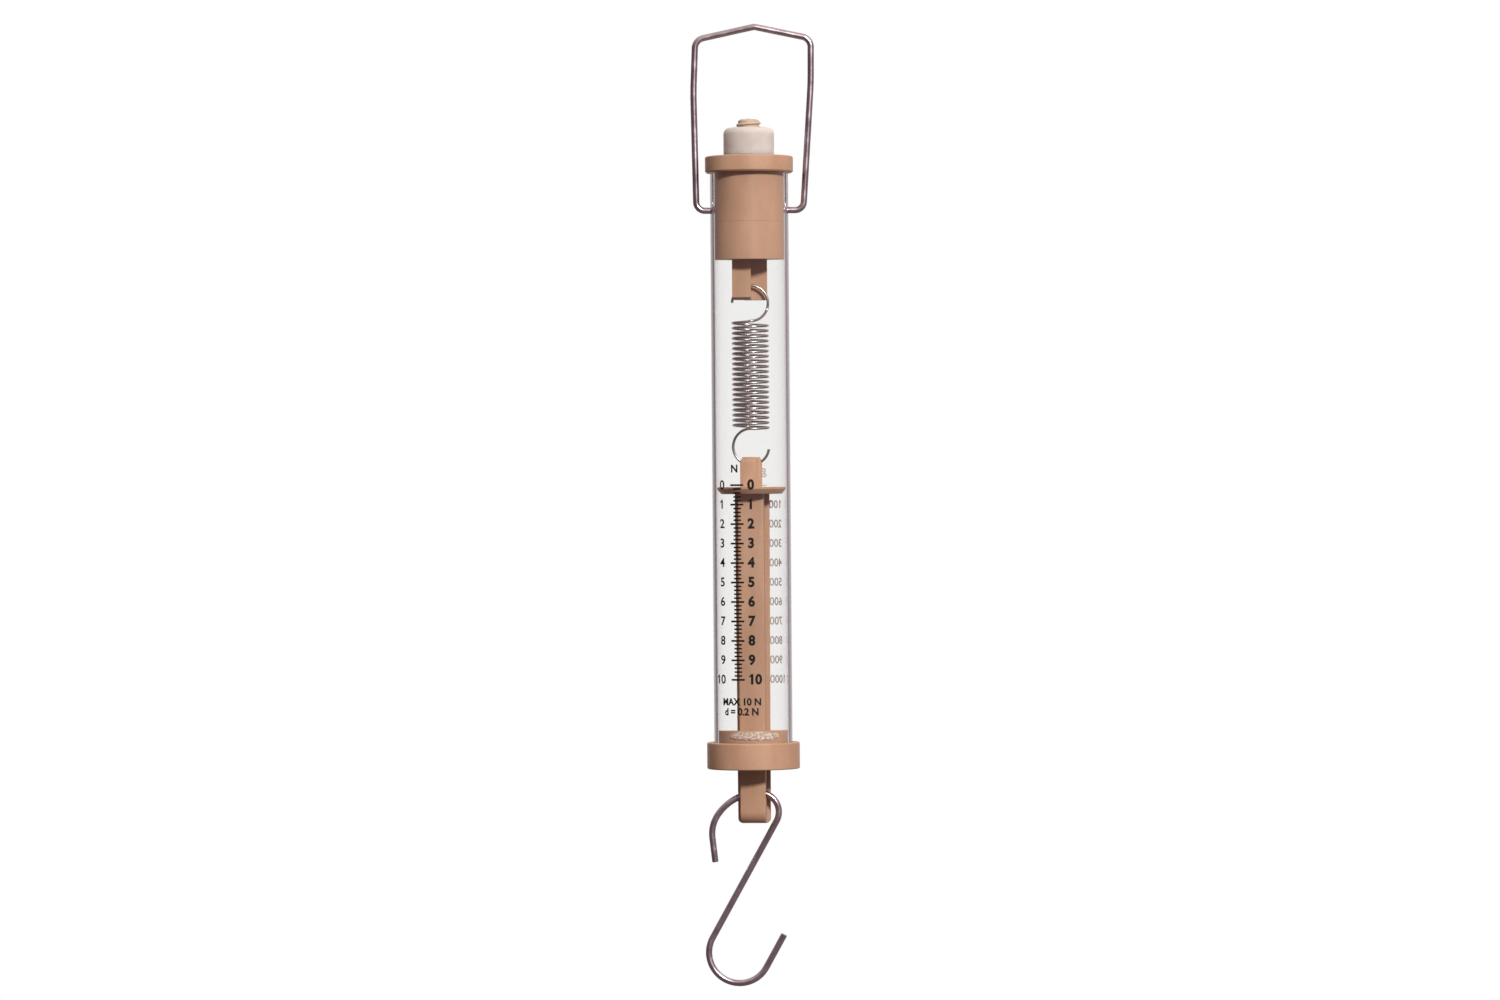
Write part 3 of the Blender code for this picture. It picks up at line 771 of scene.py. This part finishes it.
def make_bottom_cap(material):
    socket = TUBE_RADIUS + GAP
    socket_bottom = TUBE_LOW.z - GAP
    centre = SPINE_HALF_WIDTH / 2
    profile = [
        (centre, BOTTOM_HIGH.z, 0),
        (PLUG_RADIUS, BOTTOM_HIGH.z, CAP_ROUND),
        (PLUG_RADIUS, socket_bottom, 0),
        (socket, socket_bottom, 0),
        (socket, BOTTOM_FLANGE_TOP, SOCKET_ROUND),
        (BOTTOM_FLANGE_RADIUS, BOTTOM_FLANGE_TOP, FLANGE_CHAMFER),
        (BOTTOM_FLANGE_RADIUS, BOTTOM_LOW.z, FLANGE_CHAMFER),
        (centre, BOTTOM_LOW.z, 0),
    ]
    cap = turned("lower_cap", profile, bored=True)
    low = BOTTOM_LOW.z - OVERLAP
    high = BOTTOM_HIGH.z + OVERLAP
    spine_slot = box(
        "spine_slot",
        (-SPINE_HALF_WIDTH - GAP, SPINE_FRONT - GAP, low),
        (SPINE_HALF_WIDTH + GAP, STRIP_FRONT + OVERLAP, high),
    )
    strip_slot = box(
        "strip_slot",
        (-STRIP_TOP_HALF_WIDTH - GAP, STRIP_FRONT - GAP, low - INSET),
        (STRIP_TOP_HALF_WIDTH + GAP, STRIP_BACK + GAP, high + INSET),
    )
    for tool in (spine_slot, strip_slot):
        tool.data.transform(Matrix.Rotation(PLUNGER_TURN, 4, "Z"))
    combine(cap, [spine_slot, strip_slot], "DIFFERENCE")
    return finish_piece(cap, material, "casing", ["bottom_cap"])


def make_gate_mark(material):
    """The trimmed moulding gate, low on the front of the lower flange and just under its surface."""
    profile = [
        (0, GATE_HEIGHT, 0),
        (GATE_RADIUS, GATE_HEIGHT, GATE_ROUND),
        (GATE_BASE_RADIUS, -GATE_DEPTH, 0),
        (0, -GATE_DEPTH, 0),
    ]
    mark = turned("gate_mark", profile, steps=GATE_SIDES)
    out = Matrix.Rotation(math.pi / 2, 4, "X")
    reach = Matrix.Translation((0, GATE_DEPTH - BOTTOM_FLANGE_RADIUS, BOTTOM_LOW.z + GATE_RISE))
    mark.data.transform(Matrix.Rotation(GATE_ANGLE, 4, "Z") @ reach @ out)
    return finish_piece(mark, material, "casing")


def make_cement(material):
    """A smear of dried cement round the front of the lower plug, with uneven edges."""
    inner = PLUG_RADIUS - CEMENT_SUNK
    outer = TUBE_BORE - CEMENT_CLEARANCE
    rings = []
    for k in range(CEMENT_STEPS + 1):
        share = k / CEMENT_STEPS
        angle = math.radians(CEMENT_START + CEMENT_SWEEP * share)
        thin = 1 - math.sin(math.pi * share) ** CEMENT_FADE
        ragged = noise.noise(Vector((RAGGED_SCALE * share, RAGGED_SEED, 0)))
        rough = noise.noise(Vector((ROUGH_SCALE * share, ROUGH_SEED, 0)))
        waves = [long * ragged + short * rough for long, short in (CEMENT_TOP_WAVES, CEMENT_BOTTOM_WAVES)]
        top = BOTTOM_HIGH.z - (CEMENT_TOP + waves[0] + CEMENT_TOP_THINNING * thin) * MM
        low = BOTTOM_HIGH.z - (CEMENT_BOTTOM + waves[1] - CEMENT_BOTTOM_THINNING * thin) * MM
        low = min(low, top - CEMENT_LEAST)
        section = [
            (inner, top),
            (outer, top - CEMENT_EDGE),
            (outer, low + CEMENT_EDGE),
            (inner, low),
        ]
        rings.append([(radius * math.sin(angle), -radius * math.cos(angle), z) for radius, z in section])
    return finish_piece(loft("cement_smear", rings), material, "casing")


# ---- Printed scale ----------------------------------------------------------------------------
def lettering(bm, text, z, x, height, squeeze, bold, align="LEFT"):
    """Adds flat solid text that reads from -Y, its middle at z; x is an arc length."""
    curve = bpy.data.curves.new("text", "FONT")
    curve.body = text
    curve.align_x = align
    curve.align_y = "CENTER"
    curve.resolution_u = FONT_CURVE_STEPS
    curve.offset = bold
    curve.extrude = 1.0
    obj = bpy.data.objects.new("text", curve)
    bpy.context.scene.collection.objects.link(obj)
    mesh = evaluated_mesh(obj)
    bpy.data.objects.remove(obj, do_unlink=True)
    size = height / CAP_HEIGHT
    width = size * squeeze
    upright = Matrix.Rotation(math.pi / 2, 4, "X")
    scale = Matrix.Diagonal((width, INK, size, 1))
    mesh.transform(Matrix.Translation((x, 0, z)) @ scale @ upright)
    if text.startswith("1"):
        stem = min(vert.co.x for vert in mesh.vertices)
        top = max(vert.co.z for vert in mesh.vertices)
        flag = [
            (stem + FLAG_WIDTH * width / 2, top),
            (stem - FLAG_WIDTH * width, top - FLAG_TOP * size),
            (stem - FLAG_WIDTH * width, top - FLAG_UNDERSIDE * size),
            (stem + FLAG_WIDTH * width / 2, top - FLAG_JOINT * size),
        ]
        extrude(bm, [(x, -INK, z) for x, z in flag], (0, 2 * INK, 0))
    bm.from_mesh(mesh)
    bpy.data.meshes.remove(mesh)


def bar(bm, z, left, right, height):
    """Adds a flat line at z, from left to right as arc lengths."""
    made = bmesh.ops.create_cube(bm, size=1.0)
    bmesh.ops.scale(bm, vec=(right - left, 2 * INK, height), verts=made["verts"])
    bmesh.ops.translate(bm, vec=((left + right) / 2, 0, z), verts=made["verts"])


def wrap(name, bm, material, turn=0.0):
    """Bends flat print round the outside of the tube and finishes it."""
    low = min(vert.co.x for vert in bm.verts)
    high = max(vert.co.x for vert in bm.verts)
    for k in range(1, math.ceil((high - low) / INK_STEP)):
        everything = bm.verts[:] + bm.edges[:] + bm.faces[:]
        place = (low + k * INK_STEP, 0, 0)
        bmesh.ops.bisect_plane(bm, geom=everything, plane_co=place, plane_no=(1, 0, 0))
    for vert in bm.verts:
        angle = vert.co.x / TUBE_RADIUS
        radius = TUBE_RADIUS + (INK * INK_OUT if vert.co.y < 0 else -INK * INK_IN)
        vert.co = (radius * math.sin(angle), -radius * math.cos(angle), vert.co.z)
    printed = mesh_object(name, bm)
    finish_piece(printed, material, "casing", turn=turn, smooth=False)
    return printed


def newton_z(newtons):
    return ZERO_Z - NEWTON * newtons


def scale_lines(bm, long, short):
    """Adds a long line at every newton, and short ones between."""
    for k in range(LINES_PER_NEWTON * NEWTONS + 1):
        bar(bm, newton_z(k / LINES_PER_NEWTON), **(short if k % LINES_PER_NEWTON else long))


def make_scale(black, faint):
    """Newtons on the front with two columns of numerals, grams on the back."""
    lines = bmesh.new()
    scale_lines(lines, LONG_LINE, SHORT_LINE)
    wrap("newton_lines", lines, black)

    numerals = bmesh.new()
    for k in range(NEWTONS + 1):
        lettering(numerals, str(k), newton_z(k), **NUMERAL)
    wrap("newton_numerals", numerals, black).visible_shadow = False

    side = bmesh.new()
    for k in range(NEWTONS + 1):
        lettering(side, str(k), newton_z(k), **SIDE_NUMERAL)
    wrap("side_numerals", side, black)

    marks = bmesh.new()
    lettering(marks, "N", ZERO_Z + NEWTON_SIGN_RISE, **NEWTON_SIGN)
    for text, drop in NOTES:
        lettering(marks, text, newton_z(NEWTONS) - drop, **NOTE)
    wrap("unit_marks", marks, black).visible_shadow = False

    grams = bmesh.new()
    scale_lines(grams, LONG_GRAM_LINE, SHORT_GRAM_LINE)
    for k in range(1, NEWTONS + 1):
        lettering(grams, str(GRAMS_PER_NEWTON * k), newton_z(k), **GRAM_NUMERAL)
    lettering(grams, "g", ZERO_Z + GRAM_SIGN_RISE, **GRAM_SIGN)
    wrap("gram_scale", grams, faint, turn=math.pi).visible_shadow = False


# ---- Nut and hanger ---------------------------------------------------------------------------
def make_nut(material):
    profile = [
        (STUD_BORE, NUT_HIGH.z, NUT_BORE_ROUND),
        (NUT_RADIUS, NUT_HIGH.z, NUT_ROUND),
        (NUT_RADIUS, NUT_LOW.z, NUT_FOOT_ROUND),
        (STUD_BORE, NUT_LOW.z, NUT_FOOT_BORE_ROUND),
    ]
    nut = turned("knob_nut", profile, bored=True)
    return finish_piece(nut, material, "nut", ["zero_nut"])


def make_stud(material):
    """The threaded stud: a right-hand thread with a tapered start and a trimmed gate on top."""
    top = HANGER_HIGH.z
    rings = [circle(radius * MM, top + rise * MM, THREAD_COLUMNS) for radius, rise in STUD_GATE]
    for row in range(THREAD_ROWS + 1):
        z = top + (THREAD_BOTTOM - top) * row / THREAD_ROWS
        tip = STUD_TIP_RADIUS - STUD_TIP_BREAK + min(STUD_TIP_BREAK, top - z) + STUD_TAPER * (top - z)
        ring = []
        for column in range(THREAD_COLUMNS):
            angle = 2 * math.pi * column / THREAD_COLUMNS
            phase = ((z - THREAD_START) / THREAD_PITCH - angle / (2 * math.pi)) % 1.0
            across = (abs(2 * phase - 1) - THREAD_VALLEY) / THREAD_FLANK
            crest = eased(min(1.0, max(0.0, across)))
            radius = min(THREAD_ROOT + (STUD_RADIUS - THREAD_ROOT) * crest, tip)
            ring.append((radius * math.cos(angle), radius * math.sin(angle), z))
        rings.append(ring)
    for z in (THREAD_BOTTOM - THREAD_RUNOUT, BLOCK_TOP - OVERLAP):
        rings.append(circle(STUD_RADIUS, z, THREAD_COLUMNS))
    return finish_piece(loft("threaded_stud", rings), material, "hanger")


def make_hanger(material):
    block = box(
        "hanger_foot",
        (-BLOCK_HALF_WIDTH, -BLOCK_HALF_DEPTH, HANGER_LOW.z),
        (BLOCK_HALF_WIDTH, BLOCK_HALF_DEPTH, BLOCK_TOP),
    )
    low = HANGER_LOW.z - OVERLAP
    beyond = 2 * BLOCK_HALF_WIDTH
    plate_y = BLOCK_HALF_DEPTH - FOOT_PLATE
    tools = [
        box("front_right", (WEB_RIGHT, -beyond, low), (beyond, plate_y, FOOT_TOP)),
        box("rear_left", (-beyond, -plate_y, low), (WEB_LEFT, beyond, FOOT_TOP)),
    ]
    combine(block, tools, "DIFFERENCE")
    for vert in block.data.vertices:
        if vert.co.y < FOOT_PLATE / 2 - BLOCK_HALF_DEPTH and vert.co.z < HANGER_LOW.z + OVERLAP:
            vert.co.z += FOOT_SLOPE
    bevel(block, FOOT_BEVEL)
    applied(block)
    hole = rod_along_x("web_hole", WEB_HOLE_RADIUS, beyond / 2, 0, WEB_HOLE_Z)
    combine(block, [hole], "DIFFERENCE")
    return finish_piece(block, material, "hanger", ["spring_hanger"])


# ---- Spring -----------------------------------------------------------------------------------
def hook_points(centre_z, start, end, coil_at_start):
    """A round spring hook in the XZ plane, whose coil end moves forward to meet the coil."""
    count = round(abs(end - start) / HOOK_STEP)
    points = []
    for k in range(count + 1):
        angle = start + (end - start) * k / count
        to_coil = abs(angle - (start if coil_at_start else end))
        share = max(0.0, 1 - to_coil / HOOK_BLEND)
        forward = COIL_RADIUS * eased(share)
        x = HOOK_RADIUS * math.cos(angle)
        points.append(Vector((x, -forward, centre_z + HOOK_RADIUS * math.sin(angle))))
    return points


def make_spring(material):
    quarter = math.pi / 2
    upper = hook_points(UPPER_HOOK_Z, UPPER_HOOK_TIP, -quarter, coil_at_start=False)
    lower = hook_points(LOWER_HOOK_Z, quarter, LOWER_HOOK_TIP, coil_at_start=True)
    steps = COIL_TURNS * COIL_POINTS
    coil = []
    for k in range(1, steps):
        angle = -quarter - 2 * math.pi * k / COIL_POINTS
        z = COIL_TOP + (COIL_BOTTOM - COIL_TOP) * k / steps
        coil.append(Vector((COIL_RADIUS * math.cos(angle), COIL_RADIUS * math.sin(angle), z)))
    spring = wire_curve("coil_spring", upper + coil + lower, SPRING_WIRE_RADIUS, SPRING_END_CHAMFER)
    finish_piece(spring, material, None, ["spring"])
    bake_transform(spring)
    return spring


# ---- Plunger ----------------------------------------------------------------------------------
def narrow_top(obj, start):
    """Draws the sides of a solid in towards its top, from the height start up."""
    bm = bmesh.new()
    bm.from_mesh(obj.data)
    everything = bm.verts[:] + bm.edges[:] + bm.faces[:]
    bmesh.ops.bisect_plane(bm, geom=everything, plane_co=(0, 0, start), plane_no=(0, 0, 1))
    for vert in bm.verts:
        rise = max(0.0, vert.co.z - start) / (POST_TOP - start)
        vert.co.x *= 1 - POST_NARROWING * rise
    bm.to_mesh(obj.data)
    bm.free()


def make_plunger(material):
    profile = [
        (0, DISC_TOP, 0),
        (DISC_RADIUS, DISC_TOP, DISC_EDGE),
        (DISC_RADIUS, DISC_RIM_BOTTOM, DISC_ROUND),
        (DISC_LOWER_RADIUS, DISC_BOTTOM, DISC_ROUND),
        (0, DISC_BOTTOM, 0),
    ]
    plunger = turned("indicator_plunger", profile)
    inside = (DISC_TOP + DISC_BOTTOM) / 2
    strip = plate(
        "strip",
        rounded(
            [
                (-STRIP_TOP_HALF_WIDTH, inside, 0),
                (-STRIP_HALF_WIDTH, ROD_BOTTOM, STRIP_ROUND),
                (STRIP_HALF_WIDTH, ROD_BOTTOM, STRIP_ROUND),
                (STRIP_TOP_HALF_WIDTH, inside, 0),
            ],
            closed=True,
        ),
        "Y",
        STRIP_FRONT,
        STRIP_BACK,
    )
    spine = plate(
        "spine",
        rounded(
            [
                (SPINE_FRONT, inside - INSET, 0),
                (SPINE_FRONT, ROD_BOTTOM + INSET, SPINE_ROUND),
                (STRIP_FRONT + OVERLAP, ROD_BOTTOM + INSET, 0),
                (STRIP_FRONT + OVERLAP, inside - INSET, 0),
            ],
            closed=True,
        ),
        "X",
        -SPINE_HALF_WIDTH,
        SPINE_HALF_WIDTH,
    )
    post = plate(
        "post",
        [
            (POST_FRONT, inside),
            (POST_BACK, inside),
            (POST_BACK, POST_TOP - POST_BEVEL / 2),
            (POST_BACK - POST_BEVEL / 2, POST_TOP),
            (POST_FRONT, POST_TOP),
        ],
        "X",
        -POST_HALF_WIDTH,
        POST_HALF_WIDTH,
    )
    pad = plate(
        "pad",
        [
            (PAD_FRONT, inside - INSET),
            (POST_FRONT + OVERLAP, inside - INSET),
            (POST_FRONT + OVERLAP, POST_TOP - PAD_INSET),
            (POST_FRONT - POST_BEVEL, POST_TOP - PAD_INSET),
            (PAD_FRONT, POST_TOP - PAD_INSET - POST_BEVEL),
        ],
        "X",
        PAD_INSET - POST_HALF_WIDTH,
        PAD_RIGHT,
    )
    for solid, width in ((strip, STRIP_BEVEL), (spine, SPINE_BEVEL), (post, POST_EDGE), (pad, POST_EDGE)):
        bevel(solid, width)
        applied(solid)
    for solid in (post, pad):
        narrow_top(solid, POST_TOP - POST_NECK)
    combine(plunger, [strip, spine, post, pad], "UNION")
    holes = [
        rod_along_x("post_hole", POST_HOLE_RADIUS, 2 * POST_HALF_WIDTH, 0, POST_HOLE_Z),
        rod_along_x("eye", EYE_RADIUS, 2 * SPINE_HALF_WIDTH, EYE_Y, EYE_Z),
    ]
    combine(plunger, holes, "DIFFERENCE")
    return finish_piece(plunger, material, "plunger", ["plunger"], turn=PLUNGER_TURN)


# ---- Wires ------------------------------------------------------------------------------------
def make_bail(material):
    corners = [(x * MM, z * MM, radius * MM) for x, z, radius in BAIL_CORNERS]
    corners = [(-PIN_END, PIN_Z, 0)] + corners + [(PIN_END, PIN_Z, 0)]
    points = [Vector((x, 0, z)) for x, z in rounded(corners, BEND_STEP)]
    bail = wire_curve("bail_wire", points, WIRE_RADIUS, WIRE_END_CHAMFER)
    return finish_piece(bail, material, "bail", ["bail"])


def make_s_hook(material):
    points = [HOOK_TIP.copy()]
    heading = HOOK_HEADING
    for kind, size, *turn in HOOK_BENDS:
        steps = 1
        step_turn = 0.0
        stride = size * MM
        if kind == "bend":
            sweep = math.radians(turn[0])
            steps = math.ceil(abs(sweep) / BEND_STEP)
            step_turn = sweep / steps
            stride = 2 * size * MM * math.sin(abs(step_turn) / 2)
        for _ in range(steps):
            heading += step_turn / 2
            points.append(points[-1] + stride * Vector((math.cos(heading), 0, math.sin(heading))))
            heading += step_turn / 2
    points = [point + Vector((0, EYE_Y, 0)) for point in points]
    hook = wire_curve("s_hook_wire", points, WIRE_RADIUS, WIRE_END_CHAMFER)
    return finish_piece(hook, material, "hook", ["s_hook"], turn=PLUNGER_TURN)


# ---- Studio -----------------------------------------------------------------------------------
def make_floor():
    """A wide pale floor, well below the hanging scale."""
    bm = bmesh.new()
    bmesh.ops.create_circle(bm, cap_ends=True, segments=FLOOR_SIDES, radius=FLOOR_RADIUS)
    floor = mesh_object("studio_floor", bm)
    floor.location.z = FLOOR_Z
    floor.data.materials.append(floor_material())
    floor.visible_diffuse = False  # so close below, it would light the scale from under it
    floor.visible_glossy = False


def make_world():
    """Soft room light: a white backdrop behind, and a dimmer, slightly warm room everywhere else."""
    world = bpy.data.worlds.new("studio")
    bpy.context.scene.world = world
    world.use_nodes = True
    tree = world.node_tree
    place = tree.nodes.new("ShaderNodeTexCoord")
    parts = node(tree, "ShaderNodeSeparateXYZ", Vector=place.outputs["Generated"])
    room = ramp(tree, parts.outputs["Y"], ROOM_DEPTH, ROOM_FRONT, ROOM_BACK)
    to_right = ramp(tree, parts.outputs["X"], (-1.0, 1.0), 0.0, 1.0)
    room = blend_colours(tree, to_right, room, ROOM_RIGHT, "ADD")
    to_top = ramp(tree, parts.outputs["Z"], ROOM_HEIGHT, 0.0, 1.0)
    room = blend_colours(tree, to_top, room, ROOM_TOP, "ADD")
    edge = (math.cos(BACKDROP_END), math.cos(BACKDROP_START))
    colour = blend_colours(tree, ramp(tree, parts.outputs["Y"], edge, 0.0, 1.0), room, BACKDROP)
    background = tree.nodes["Background"]
    tree.links.new(colour, background.inputs["Color"])
    seen = tree.nodes.new("ShaderNodeBackground")
    seen.inputs["Color"].default_value = (1, 1, 1, 1)
    mix = tree.nodes.new("ShaderNodeMixShader")
    path = tree.nodes.new("ShaderNodeLightPath")
    clear = tree.nodes.new("ShaderNodeMath")  # the sum: white where it is seen directly or through the tube
    tree.links.new(path.outputs["Is Camera Ray"], clear.inputs[0])
    tree.links.new(path.outputs["Is Transmission Ray"], clear.inputs[1])
    tree.links.new(clear.outputs[0], mix.inputs[0])
    tree.links.new(background.outputs[0], mix.inputs[1])
    tree.links.new(seen.outputs[0], mix.inputs[2])
    tree.links.new(mix.outputs[0], tree.nodes["World Output"].inputs["Surface"])


def make_key():
    """One small softbox, above the camera and to its right."""
    target = Vector((AXIS_X, 0, CAMERA_Z))
    level = math.cos(KEY_ELEVATION)
    x = level * math.sin(KEY_AZIMUTH)
    y = -level * math.cos(KEY_AZIMUTH)
    out = Vector((x, y, math.sin(KEY_ELEVATION)))
    light = bpy.data.lights.new("key", "AREA")
    light.size = KEY_SIZE
    light.energy = KEY_POWER
    lamp = bpy.data.objects.new("key", light)
    lamp.location = target + out * KEY_DISTANCE
    lamp.rotation_euler = (-out).to_track_quat("-Z", "Y").to_euler()
    bpy.context.scene.collection.objects.link(lamp)


def make_camera():
    """Level with the middle of the tube, straight on to its printed front."""
    data = bpy.data.cameras.new("camera")
    data.sensor_width = SENSOR_WIDTH
    data.lens = CAMERA_LENS
    data.clip_start = CLIP_START
    data.clip_end = CLIP_END
    camera = bpy.data.objects.new("camera", data)
    camera.location = (CAMERA_X, -CAMERA_DISTANCE, CAMERA_Z)
    level = Matrix.Rotation(math.pi / 2, 3, "X")
    camera.rotation_euler = (level @ Matrix.Rotation(CAMERA_ROLL, 3, "Z")).to_euler()
    bpy.context.scene.collection.objects.link(camera)
    bpy.context.scene.camera = camera


def main():
    tan = tan_plastic("tan_plastic", TAN)
    # The paler tan is painted light for the stud, not a second plastic.
    painted_light_tan = tan_plastic("painted_light_tan_plastic", TAN_PAINTED_LIGHT)
    wire = metal("plated_wire", PLATED, ALONG_WIRE)
    steel = metal("spring_steel", STEEL, EVEN)
    black = ink("black_ink", BLACK_INK)
    faint = ink("faint_ink", FAINT_INK)

    make_tube(clear_plastic())
    make_top_cap(tan)
    make_bottom_cap(tan)
    make_gate_mark(tan)
    make_cement(cement())
    make_scale(black, faint)
    make_nut(white_nylon())
    # The stud gets the paler tan: painted light on it.
    make_stud(painted_light_tan)
    make_hanger(tan)
    make_spring(steel)
    make_plunger(tan)
    make_bail(wire)
    make_s_hook(wire)

    make_floor()
    make_world()
    make_key()
    make_camera()
    bpy.context.scene.view_settings.view_transform = "Standard"


main()
